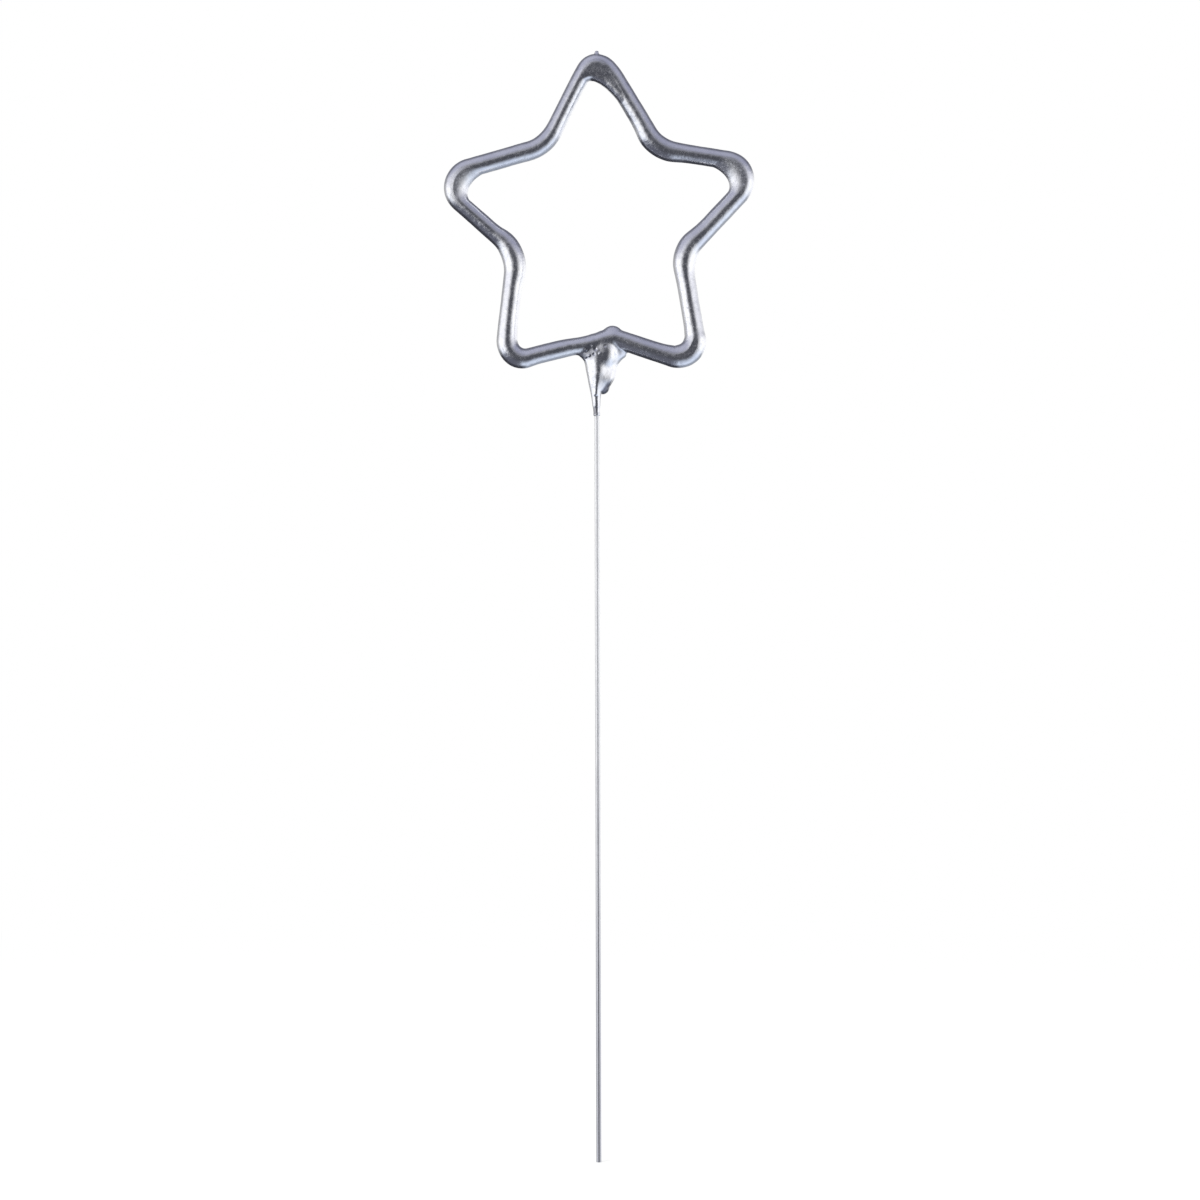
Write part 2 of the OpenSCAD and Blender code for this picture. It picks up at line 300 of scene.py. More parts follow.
# ---- the view, m ----
AIM = Vector((0.000428, 0.0, 0.09113))
VIEW_WIDTH = 0.19459
LENS = 100.0
SENSOR = 36.0
LEAN = 0.00274


def heading(v):
    """Angle of a way in the star's plane, counter-clockwise from the right."""
    return math.degrees(math.atan2(v[1], v[0]))


def turn(u, v):
    """Angle from one way to another, counter-clockwise, at most half a turn."""
    d = heading(v) - heading(u)
    return d - 360 * round(d / 360)


def ahead(a):
    """The way at a heading, 1 long."""
    return np.array([math.cos(math.radians(a)), math.sin(math.radians(a))])


def aside(a):
    """The way to the left of a heading, 1 long."""
    return np.array([-math.sin(math.radians(a)), math.cos(math.radians(a))])


def ramp(x, low, high):
    """0 at low and 1 at high, with a smooth run between them."""
    t = min(max((x - low) / (high - low), 0.0), 1.0)
    return t * t * (3 - 2 * t)


neck_foot = np.array([0.0, STEM_H])
neck_bend_at = np.array([-NECK_LEAN, STEM_H + NECK_H])
tail_bend_at = neck_bend_at + [TAIL_ASIDE, TAIL_RISE]
star_mid = np.array([STAR_ASIDE, neck_bend_at[1] + STAR_RISE])
tail_end_h = tail_bend_at[1] - TAIL_LEN
tail_end = np.array([TAIL_GAP - NECK_LEAN * (tail_end_h - STEM_H) / NECK_H, tail_end_h])


def star_corner(i):
    wander = STAR_ROWS[i]
    valley_ring = UPPER_RING if i in UPPER_VALLEYS else LOWER_RING
    ring = TIP_RING if i % 2 == 0 else valley_ring
    a = math.radians(STAR_STEP * (STAR_FIRST + i) + wander[1])
    return star_mid + (ring + wander[0]) * np.array([math.sin(a), math.cos(a)])


loop_corners = [neck_bend_at] + [star_corner(i) for i in range(len(STAR_ROWS))] + [tail_bend_at]
loop_bends = (
    [JOINT_BEND]
    + [(TIP_BEND if i % 2 == 0 else VALLEY_BEND) + row[2] for i, row in enumerate(STAR_ROWS)]
    + [JOINT_BEND]
)
loop_pools = [(0.0, 0.0)] + [row[3:5] for row in STAR_ROWS] + [(0.0, 0.0)]


def bend_size(bend, t):
    """How far a bend of that radius and turn reaches along its legs, and half its length."""
    t = math.radians(abs(t))
    return bend * math.tan(t / 2), bend * t / 2


def loop_stations():
    """Places round the closed coat: place, heading, leg, nearest bend, distance from its middle."""
    found = []
    n = len(loop_corners)
    for i in range(n):
        here, after = loop_corners[i], loop_corners[(i + 1) % n]
        u, v = here - loop_corners[i - 1], after - here
        w = loop_corners[(i + 2) % n] - after
        t = turn(u, v)
        bend = loop_bends[i]
        reach, half = bend_size(bend, t)
        reach_next, half_next = bend_size(loop_bends[(i + 1) % n], turn(v, w))
        side = math.copysign(1, t)
        centre = here - reach * ahead(heading(u)) + side * bend * aside(heading(u))
        steps = max(2, math.ceil(abs(t) / ARC_STEP))
        for j in range(steps + 1):
            a = heading(u) + t * j / steps
            leg = (i - 1) % n if 2 * j < steps else i
            place = centre - side * bend * aside(a)
            found.append((place, a, leg, i, abs(2 * j / steps - 1) * half))
        run = np.linalg.norm(v) - reach - reach_next
        gaps = max(1, round(run / STRAIGHT_STEP))
        for j in range(1, gaps):
            x = run * j / gaps
            place = here + (reach + x) * ahead(heading(v))
            from_here, from_next = half + x, half_next + run - x
            nearest = i if from_here < from_next else (i + 1) % n
            found.append((place, heading(v), i, nearest, min(from_here, from_next)))
    return found


def pool(d, k):
    """Share of the gathered mix at a distance from a bend's middle: inside (0) or outside (1)."""
    return 1 - ramp(d, POOL_FULL[k], POOL_GONE[k])


def loop_sections():
    """Outlines round the star: place, heading, right half, left half, half depth."""
    rows = []
    for place, a, leg, bend, d in loop_stations():
        extra = [
            LEG_ROWS[leg][k] + (loop_pools[bend][k] - LEG_ROWS[leg][k]) * pool(d, k) for k in (0, 1)
        ]
        inner = min(LEG_HALF + extra[0], loop_bends[bend] - BEND_ROOM)
        depth = LEG_DEPTH + (extra[0] + extra[1]) / WIDTH_TO_DEPTH
        if bend == TOP_TIP:
            depth -= TOP_SUNK * pool(d, 1)
        rows.append([*place, a, inner, LEG_HALF + extra[1], depth])
    rows = np.array(rows)
    sizes = rows[:, 3:]
    for _ in range(LEG_PASSES):
        sizes[:] = (np.roll(sizes, 1, 0) + 2 * sizes + np.roll(sizes, -1, 0)) / 4
    return [(r[:2], *r[2:]) for r in rows]


def dome(place, a, right, left, depth, length, back=False):
    """Rings of falling width past the end of a run of outlines."""
    angles = range(DOME_STEP, 90, DOME_STEP)
    way = -1 if back else 1
    rings = [
        (
            place + way * length * math.sin(math.radians(e)) * ahead(a),
            a,
            right * math.cos(math.radians(e)),
            left * math.cos(math.radians(e)),
            depth * math.cos(math.radians(e)),
        )
        for e in angles
    ]
    return rings[::-1] if back else rings


def eased(rows, x):
    """A smooth curve through rows of (place, value)."""
    xs, ys = np.array(rows).T
    slopes = np.gradient(ys, xs)
    i = int(np.clip(np.searchsorted(xs, x) - 1, 0, len(xs) - 2))
    gap = xs[i + 1] - xs[i]
    t = min(max((x - xs[i]) / gap, 0.0), 1.0)
    return (
        ys[i] * (1 + 2 * t) * (1 - t) ** 2
        + slopes[i] * gap * t * (1 - t) ** 2
        + ys[i + 1] * t * t * (3 - 2 * t)
        + slopes[i + 1] * gap * t * t * (t - 1)
    )


def neck_sections():
    """Outlines up the neck, from the lap's edge on the bare wire into the joint."""
    a = heading(neck_bend_at - neck_foot)
    full = LEG_HALF - SKIN - WIRE_R
    rows = ((LAP / NECK_H, LAP_TOP),) + NECK_ROWS + ((1.0, NECK_TOP),)
    sections = []
    for share in np.linspace(0, 1, NECK_STEPS):
        d = share * NECK_H
        if d < LAP:
            # a thin lap of lacquer on the bare wire, with a small bead at its lower edge
            half = WIRE_R + LAP_EDGE + (SKIN - LAP_EDGE) * ramp(d, 0, LAP)
            half += LAP_TOP * full * ramp(d, LAP_MIX_FROM, LAP)
            half += BEAD_HIGH * (1 - ramp(d, BEAD_FULL, BEAD_GONE))
        else:
            half = WIRE_R + SKIN + full * eased(rows, share)
        depth = min(half, NECK_DEPTH * LEG_DEPTH)
        sections.append((neck_foot + d * ahead(a), a, half, half, depth))
    top, _, right, left, depth = sections[-1]
    return sections + dome(top, a, right, left, depth, right)


def back_at(h):
    """How far back the tail lies at a height."""
    share = min(max((tail_bend_at[1] + BACK_FROM - h) / BACK_OVER, 0.0), 1.0)
    return TAIL_BACK * (1 - math.cos(math.pi * share)) / 2


def tail_sections():
    """Outlines down the tail, from inside the joint to its drop, and how far back each lies."""
    a = heading(tail_end - tail_bend_at)
    depth, over = TAIL_DEPTH * LEG_DEPTH, LEG_HALF + TAIL_BULGE
    start = dome(tail_bend_at, a, over, over, depth, over, back=True)
    middle = [
        (
            tail_bend_at + share * TAIL_LEN * ahead(a),
            a,
            LEG_HALF + TAIL_BULGE * (1 - ramp(share, 0, TAIL_BULGE_GONE)),
            LEG_HALF + eased(TAIL_ROWS, share),
            depth,
        )
        for share in np.linspace(0, 1, TAIL_STEPS)
    ]
    end = dome(tail_end, a, LEG_HALF, LEG_HALF + TAIL_ROWS[-1][1], depth, TAIL_DROP)
    return [(*section, back_at(section[0][1])) for section in start + middle + end]


def lump_sections():
    """Outlines up the lump over the joint."""
    mid = neck_bend_at + LUMP_MID
    outline = (mid, 90, LUMP_RIGHT, LUMP_LEFT, LUMP_DEPTH)
    return dome(*outline, LUMP_DOWN, back=True) + [outline] + dome(*outline, LUMP_UP)


def by_bend(i, x):
    """Place on the wire at a distance from the middle of a tip's bend."""
    here = loop_corners[i]
    u, v = heading(here - loop_corners[i - 1]), heading(loop_corners[i + 1] - here)
    t = turn(ahead(u), ahead(v))
    bend = loop_bends[i]
    reach, half = bend_size(bend, t)
    if abs(x) > half:
        return here + math.copysign(reach + abs(x) - half, x) * ahead(u if x < 0 else v)
    return here - reach * ahead(u) + bend * (aside(u + t / 2 * (1 + x / half)) - aside(u))


def web_sections(row):
    """The web inside a tip: outlines from the wire in to a free edge, which curves from the
    inner side of one leg over to the other."""
    i, before, after, square, left, inside = row
    corner = loop_corners[i]
    u, v = heading(corner - loop_corners[i - 1]), heading(loop_corners[i + 1] - corner)
    t = math.radians(abs(turn(ahead(u), ahead(v))))
    h = LEG_HALF - WEB_SUNK
    foot = h * math.tan(t / 2)
    inner = corner - foot * ahead(u) - h * aside(u)
    ends = inner - before * ahead(u), inner + after * ahead(v)
    half = loop_bends[i] * (t / 2 - math.tan(t / 2)) + foot
    sections = []
    for w in np.linspace(0, 1, WEB_STEPS):
        p, q, r = (1 - w) ** 2, 2 * math.cos(t / 2) * w * (1 - w), w * w
        edge = (p * ends[0] + q * inner + r * ends[1]) / (p + q + r)
        wire = by_bend(i, (2 * w - 1) * (half + (before if w < 0.5 else after)))
        full = math.sin(math.pi * w)
        depth = (WEB_DEPTH + (WEB_CROWN_INSIDE if inside else WEB_CROWN) * full) * LEG_DEPTH
        width = np.linalg.norm(wire - edge)
        crest = wire + (edge - wire) / width * inside * full
        a = heading(wire - edge) - 90
        width -= inside * full
        squareness = 2 + (square - 2) * full
        sections.append((crest, a, width, left + inside * full, depth, 0.0, squareness))
    return sections


def bridge():
    """Mix between neck and tail: at each height an outline stretched over the neck's ridge and
    the tail's far side, which lies further back. Points and faces."""
    rows = np.array(BRIDGE_ROWS)
    rings = []
    for h in np.linspace(rows[0, 0], rows[-1, 0], BRIDGE_STEPS):
        x_end = eased(rows[:, :2], h)
        back = eased(rows[:, [0, 2]], h)
        lean = -NECK_LEAN * (h - STEM_H) / NECK_H
        share = (h - STEM_H) / NECK_H
        thick = min(eased(NECK_ROWS, share), RIDGE_NECK_MOST)
        half = WIRE_R + SKIN + (LEG_HALF - SKIN - WIRE_R) * thick
        # the ridge stands to the right of the neck's middle and ends flush with its left edge
        off = RIDGE_ASIDE * ramp(h, RIDGE_FROM, RIDGE_FULL)
        deep = min(RIDGE_DEPTH * half, RIDGE_DEPTH_MOST * LEG_DEPTH)
        end = min(BRIDGE_END, (x_end - lean) / 2)
        ring = []
        for k in range(SIDES):
            f = 2 * math.pi * k / SIDES
            way = np.array([math.cos(f), -math.sin(f)])
            sharp = np.sign(way) * np.abs(way) ** (2 / BRIDGE_SHARP)
            ridge = np.array([lean + off, 0]) + np.array([half + off, deep]) * sharp
            side = np.array([x_end - end, back]) + end * way
            far = ridge if ridge @ way > side @ way else side
            ring.append((far[0], far[1], h))
        rings.append(ring)
    return skinned(rings)


def drip_sections():
    """The drip dried on the top tip."""
    corner = loop_corners[TOP_TIP]
    u = corner - loop_corners[TOP_TIP - 1]
    t = turn(u, loop_corners[TOP_TIP + 1] - corner)
    out = aside(heading(u) + t / 2)
    crest = loop_bends[TOP_TIP] * (1 - 1 / math.cos(math.radians(t) / 2))
    crest = crest + LEG_HALF + loop_pools[TOP_TIP][1]
    foot = corner + out * crest + [DRIP_ASIDE, -DRIP_SUNK]
    r, high = DRIP_D / 2, DRIP_H + DRIP_SUNK
    column = [(foot + [0, x * (high - r)], 90, r, r, r) for x in (0, 0.5, 1)]
    return column + dome(foot + [0, high - r], 90, r, r, r, r)


def sweep(sections, closed=False):
    """Skins a run of outlines: points and faces, with the star's plane as XZ. An outline may end
    with how far back it lies, and with the squareness of its right side."""
    rings = []
    for place, a, right, left, depth, *rest in sections:
        back = rest[0] if rest else 0.0
        square = rest[1] if len(rest) > 1 else None
        ring = []
        for k in range(SIDES):
            f = 2 * math.pi * k / SIDES
            across, deep = math.cos(f), math.sin(f)
            if square is None:
                off = (left - right) / 2 + (left + right) / 2 * across
            elif across > 0:
                off = left * across
            else:
                # thickest over its place, and square to its right
                off = -right * (-across) ** (2 / square)
                deep = math.copysign(abs(deep) ** (2 / square), deep)
            p = place + off * aside(a)
            ring.append((p[0], back - depth * deep, p[1]))
        rings.append(ring)
    return skinned(rings, closed)


def skinned(rings, closed=False):
    """Points and faces of the skin through a run of rings."""
    points = [p for ring in rings for p in ring]
    faces = []
    n = len(rings)
    for i in range(n if closed else n - 1):
        for k in range(SIDES):
            a, b = i * SIDES + k, i * SIDES + (k + 1) % SIDES
            j = (i + 1) % n * SIDES
            faces.append((a, b, j + (k + 1) % SIDES, j + k))
    if not closed:
        faces += [tuple(range(SIDES))[::-1], tuple((n - 1) * SIDES + k for k in range(SIDES))]
    return points, faces


def merged(parts):
    """Points and faces of several skins as one."""
    points, faces = [], []
    for p, f in parts:
        faces += [tuple(len(points) + i for i in face) for face in f]
        points += p
    return points, faces


def remeshed(points, faces):
    """The outer surface of overlapping closed skins, as one even mesh."""
    mesh = bpy.data.meshes.new("rough_skin")
    mesh.from_pydata(points, [], faces)
    mesh.update()
    carrier = bpy.data.objects.new("rough_skin", mesh)
    bpy.context.scene.collection.objects.link(carrier)
    modifier = carrier.modifiers.new("one_skin", "REMESH")
    modifier.mode = "VOXEL"
    modifier.voxel_size = VOXEL
    modifier.adaptivity = 0
    shape = bpy.data.meshes.new_from_object(
        carrier.evaluated_get(bpy.context.evaluated_depsgraph_get())
    )
    bpy.data.objects.remove(carrier)
    bpy.data.meshes.remove(mesh)
    return shape


def smoothed(co, edges, weight, passes, shrink, swell=0.0):
    """Moves each point towards the middle of its neighbours, and back out again by swell."""
    used, ends = np.unique(edges[(weight[edges] > 0).any(1)], return_inverse=True)
    a, b = ends.reshape(-1, 2).T
    part, share, n = co[used], weight[used, None], len(used)
    count = np.bincount(ends.ravel(), minlength=n)[:, None]
    for _ in range(passes):
        for step in (shrink, -swell) if swell else (shrink,):
            total = [
                np.bincount(a, part[b, k], n) + np.bincount(b, part[a, k], n) for k in range(3)
            ]
            part = part + step * share * (np.stack(total, 1) / count - part)
    co = co.copy()
    co[used] = part
    return co


def near(co, place, reach):
    """1 close to a place in the star's plane, falling to 0 at the reach."""
    far = np.hypot(co[:, 0] - place[0], co[:, 2] - place[1])
    return np.clip(NEAR_SLOPE * (1 - far / reach), 0, 1)


def covering(co):
    """Lifts the skin where the mix would come through it."""
    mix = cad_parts["spark_composition"].data
    corners = [v.co / MM for v in mix.vertices]
    tree = BVHTree.FromPolygons(corners, [f.vertices for f in mix.polygons])
    for p in co:
        at, normal, _, _ = tree.find_nearest(Vector(p))
        gap = (Vector(p) - at).dot(normal)
        if gap < COVER:
            p += (COVER - gap) * np.array(normal)
    return co


def unevenness(co):
    """Height of the dried lacquer's waves and of the bubbles by the joint, along the normal."""
    high = np.empty(len(co))
    for i, p in enumerate(co):
        long = noise.noise(Vector(p / WAVE_LONG))
        short = noise.noise(Vector(p / WAVE_SHORT) + WAVE_SHORT_AT)
        high[i] = WAVE_LONG_HIGH * long + WAVE_SHORT_HIGH * short
    for x, h, r, rise in BUBBLES:
        for face in (-1, 1):
            # the back has its own bubbles, a little to one side
            d = np.hypot(co[:, 0] - x - BUBBLE_BACK_ASIDE * (face > 0), co[:, 2] - h)
            within = (d < r) & (co[:, 1] * face > BUBBLE_FACE)
            high[within] += rise * (1 - (d[within] / r) ** 2) ** 2
    return high


def silver_skin():
    """The lacquer's whole outer skin, smoothed, made slightly uneven and kept inside its box."""
    points, faces = merged(
        [
            sweep(loop_sections(), closed=True),
            sweep(neck_sections()),
            sweep(tail_sections()),
            sweep(drip_sections()),
            sweep(lump_sections()),
            bridge(),
        ]
        + [sweep(web_sections(row)) for row in WEB_ROWS]
    )
    mesh = remeshed(points, faces)
    co = np.empty(len(mesh.vertices) * 3)
    mesh.vertices.foreach_get("co", co)
    co = co.reshape(-1, 3)
    edges = np.empty(len(mesh.edges) * 2, dtype=np.int32)
    mesh.edges.foreach_get("vertices", edges)
    edges = edges.reshape(-1, 2)
    co = smoothed(co, edges, np.ones(len(co)), SKIN_PASSES, SKIN_SHRINK, SKIN_SWELL)
    joint = (neck_bend_at + tail_bend_at) / 2 - [0, JOINT_DOWN]
    co = smoothed(co, edges, near(co, joint, JOINT_REACH), JOINT_PASSES, PLACE_SHRINK)
    tail = near(co, tail_end, TAIL_REACH)
    co = smoothed(co, edges, tail, TAIL_PASSES, PLACE_SHRINK, PLACE_SWELL)
    for row in WEB_ROWS:
        web = near(co, by_bend(row[0], 0), WEB_REACH)
        co = smoothed(co, edges, web, WEB_PASSES, PLACE_SHRINK, PLACE_SWELL)
    mesh.vertices.foreach_set("co", co.ravel())
    mesh.update()
    normals = np.empty(len(co) * 3)
    mesh.vertex_normals.foreach_get("vector", normals)
    co = covering(co + unevenness(co)[:, None] * normals.reshape(-1, 3))
    low, high = (np.array(corner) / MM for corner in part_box("silver_lacquer"))
    co = np.clip(co, low, high)
    mesh.vertices.foreach_set("co", (co * MM).ravel())
    mesh.update()
    mesh.polygons.foreach_set("use_smooth", np.ones(len(mesh.polygons), dtype=bool))
    mesh.name = "silver_skin"
    skin = bpy.data.objects.new("silver_skin", mesh)
    bpy.context.scene.collection.objects.link(skin)
    return skin


class Nodes:
    """Short names for building a node tree."""

    def __init__(self, tree):
        self.tree = tree
        tree.nodes.clear()

    def add(self, kind, inputs=None, **settings):
        """A new node with its inputs, each a number, a colour or another node's output."""
        node = self.tree.nodes.new(kind)
        for key, value in settings.items():
            setattr(node, key, value)
        for key, value in (inputs or {}).items():
            self.put(node.inputs[key], value)
        return node

    def put(self, socket, value):
        if isinstance(value, bpy.types.NodeSocket):
            self.tree.links.new(value, socket)
        else:
            socket.default_value = value

    def math(self, operation, a, b=0.0, clamp=False):
        node = self.add("ShaderNodeMath", operation=operation, use_clamp=clamp)
        self.put(node.inputs[0], a)
        self.put(node.inputs[1], b)
        return node.outputs[0]

    def ramp(self, value, low, high, to_low=0.0, to_high=1.0):
        """to_low at low and to_high at high, with a smooth run between them."""
        node = self.add("ShaderNodeMapRange", interpolation_type="SMOOTHSTEP", clamp=True)
        for key, given in zip(range(5), (value, low, high, to_low, to_high)):
            self.put(node.inputs[key], given)
        return node.outputs[0]

    def blend(self, share, a, b):
        """Colour a at share 0 and colour b at share 1."""
        node = self.add("ShaderNodeMix", data_type="RGBA")
        self.put(node.inputs["Factor"], share)
        self.put(node.inputs[6], a)
        self.put(node.inputs[7], b)
        return node.outputs[2]

    def patch(self, x, h, middle, far, full):
        """1 round a place in the star's plane, falling to 0 at far."""
        dx = self.math("SUBTRACT", x, float(middle[0]))
        dh = self.math("SUBTRACT", h, float(middle[1]))
        dist = self.math("ADD", self.math("MULTIPLY", dx, dx), self.math("MULTIPLY", dh, dh))
        return self.ramp(self.math("SQRT", dist), far, full)

    def noise(self, place, scale, detail=3.0, rough=0.5):
        node = self.add(
            "ShaderNodeTexNoise",
            {"Vector": place, "Scale": scale, "Detail": detail, "Roughness": rough},
        )
        return node.outputs[0]

    def rays(self):
        """1 on the camera's own rays, and 1 on those and the ones that gloss and glass send on."""
        path = self.add("ShaderNodeLightPath").outputs
        seen = self.math("ADD", path["Is Camera Ray"], path["Is Glossy Ray"])
        seen = self.math("ADD", seen, path["Is Transmission Ray"], clamp=True)
        return path["Is Camera Ray"], seen


def new_material(name):
    material = bpy.data.materials.new(name)
    material.use_nodes = True
    return material, Nodes(material.node_tree)


def place_mm(n, stretch=(1, 1, 1)):
    """The object's own coordinates in millimetres, scaled along each axis by its stretch."""
    own = n.add("ShaderNodeTexCoord").outputs["Object"]
    scale = [1 / MM * s for s in stretch]
    return n.add("ShaderNodeMapping", {"Vector": own, "Scale": scale}).outputs[0]


def grey(level):
    return (level, level, level, 1.0)


def silver_material():
    """Aluminium lacquer: a glossy binder full of fine flakes, a little uneven in tone."""
    material, n = new_material("silver_lacquer_look")
    place = place_mm(n)
    x, _, h = n.add("ShaderNodeSeparateXYZ", {"Vector": place}).outputs
    cloud = n.noise(place, scale=0.35, detail=2)
    mottle = n.noise(place, scale=1.7, detail=4, rough=0.6)
    speck = n.noise(place, scale=2.5, detail=2)
    flakes = n.add("ShaderNodeTexVoronoi", {"Vector": place, "Scale": 9.0})
    tone = n.blend(n.ramp(cloud, low=0.3, high=0.7), SILVER_GREY, SILVER_PALE)
    dull = n.math("MULTIPLY", n.ramp(mottle, low=0.5, high=0.8), DULL_SHARE)
    tone = n.blend(dull, tone, DULL_TONE)
    flake = n.ramp(flakes.outputs["Color"], low=0.75, high=0.95)
    tone = n.blend(n.math("MULTIPLY", flake, FLAKE_SHARE), tone, FLAKE_TONE)
    # duller where it foamed by the joint
    # painted shade where the left arm meets the neck, over the joint's bubbles
    joint_shade = n.math("MULTIPLY", n.patch(x, h, JOINT_SHADE_AT, far=1.6, full=0.7), JOINT_SHADE_SHARE)
    tone = n.blend(joint_shade, tone, JOINT_SHADE_TONE)
    # painted shade, dark along the tail's lower edge, and a small dark fleck at the lap's edge
    across = n.math("MULTIPLY", n.math("SUBTRACT", x, TAIL_EDGE_AT[0]), TAIL_EDGE_OUT[0])
    over = n.math("MULTIPLY", n.math("SUBTRACT", h, TAIL_EDGE_AT[1]), TAIL_EDGE_OUT[1])
    out = n.math("SUBTRACT", across, over)
    low_down = n.ramp(h, low=127.3, high=126.0)
    edge_shade_and_fleck = n.math("MULTIPLY", n.ramp(out, low=-0.6, high=-0.15), low_down)
    edge_shade_and_fleck = n.math("MULTIPLY", edge_shade_and_fleck, n.ramp(x, low=0.35, high=0.75))
    fleck_at = (LAP_FLECK_AT[0], LAP_FLECK_AT[1] * LAP_FLECK_SQUEEZE)
    squeezed = n.math("MULTIPLY", h, LAP_FLECK_SQUEEZE)
    fleck = n.patch(x, squeezed, fleck_at, far=0.38, full=0.16)
    edge_shade_and_fleck = n.math("MAXIMUM", edge_shade_and_fleck, n.math("MULTIPLY", fleck, LAP_FLECK_SHARE))
    tone = n.blend(n.math("MULTIPLY", edge_shade_and_fleck, EDGE_SHADE_AND_FLECK_SHARE), tone, EDGE_SHADE_AND_FLECK_TONE)
    rough = n.math(
        "ADD",
        n.ramp(mottle, low=0.35, high=0.75, to_low=0.12, to_high=0.24),
        n.ramp(cloud, low=0.35, high=0.7, to_high=0.05),
    )
    rough = n.math("ADD", rough, n.ramp(speck, low=0.5, high=0.68, to_high=0.14))
    # the mix that gathered inside the side tips dried rougher
    for tip in (LEFT_TIP, RIGHT_TIP):
        at = by_bend(tip, 0)
        middle = at + WEB_ROUGH_INSIDE * ahead(heading(star_mid - at))
        soft = n.patch(x, h, middle, far=3.8, full=2.2)
        rough = n.math("ADD", rough, n.math("MULTIPLY", soft, WEB_ROUGH_MORE))
    coarse = n.add("ShaderNodeBump", {"Height": mottle, "Distance": 0.05 * MM, "Strength": 0.6})
    fine = n.add(
        "ShaderNodeBump",
        {
            "Height": flakes.outputs["Distance"],
            "Distance": 0.003 * MM,
            "Strength": 0.5,
            "Normal": coarse.outputs[0],
        },
    )
    shader = n.add(
        "ShaderNodeBsdfPrincipled",
        {
            "Base Color": tone,
            "Metallic": 1.0,
            "Roughness": rough,
            "Normal": fine.outputs[0],
            "Coat Weight": 0.2,
            "Coat Roughness": 0.12,
        },
    )
    n.add("ShaderNodeOutputMaterial", {"Surface": shader.outputs[0]})
    return material


def steel_material():
    """Drawn steel wire: bright near the coat, darker towards its foot."""
    material, n = new_material("drawn_steel_look")
    place = place_mm(n)
    along = place_mm(n, stretch=(1, 1, 0.03))
    height = n.add("ShaderNodeSeparateXYZ", {"Vector": place}).outputs["Z"]
    drawn = n.noise(along, scale=7.0, detail=4, rough=0.6)
    cloud = n.noise(place, scale=0.2)
    # lighter up the stem towards the coat, darker towards the foot
    lift = n.math("ADD", height, n.math("MULTIPLY", cloud, STEEL_CLOUD_LIFT))
    toward_coat = n.ramp(lift, low=15.0, high=105.0)
    tone = n.blend(toward_coat, STEEL_FOOT, STEEL_UPPER)
    worn_most = n.ramp(toward_coat, low=0.0, high=1.0, to_low=0.25, to_high=0.1)
    worn = n.math("MULTIPLY", n.ramp(drawn, low=0.45, high=0.75), worn_most)
    tone = n.blend(worn, tone, STEEL_WORN)
    rough = n.math(
        "ADD",
        n.ramp(toward_coat, low=0.0, high=1.0, to_low=0.28, to_high=0.5),
        n.ramp(drawn, low=0.3, high=0.7, to_low=-0.05, to_high=0.06),
    )
    lines = n.add("ShaderNodeBump", {"Height": drawn, "Distance": 0.006 * MM, "Strength": 0.6})
    shader = n.add(
        "ShaderNodeBsdfPrincipled",
        {"Base Color": tone, "Metallic": 0.85, "Roughness": rough, "Normal": lines.outputs[0]},
    )
    n.add("ShaderNodeOutputMaterial", {"Surface": shader.outputs[0]})
    return material


def mix_material():
    """Dried spark mix: a dull grey cake with bright grains of metal."""
    material, n = new_material("spark_mix_look")
    place = place_mm(n)
    lumps = n.noise(place, scale=3.5, detail=6, rough=0.65)
    grains = n.add("ShaderNodeTexVoronoi", {"Vector": place, "Scale": 6.0})
    tone = n.blend(n.ramp(lumps, low=0.3, high=0.7), MIX_DARK, MIX_LIGHT)
    grain = n.ramp(grains.outputs["Color"], low=0.85, high=0.95)
    tone = n.blend(grain, tone, MIX_GRAIN)
    bump = n.add("ShaderNodeBump", {"Height": lumps, "Distance": 0.12 * MM})
    shader = n.add(
        "ShaderNodeBsdfPrincipled",
        {
            "Base Color": tone,
            "Roughness": n.ramp(lumps, low=0.3, high=0.7, to_low=0.7, to_high=0.95),
            "Normal": bump.outputs[0],
        },
    )
    n.add("ShaderNodeOutputMaterial", {"Surface": shader.outputs[0]})
    return material


def dress(thing, material):
    thing.data.materials.clear()
    thing.data.materials.append(material)


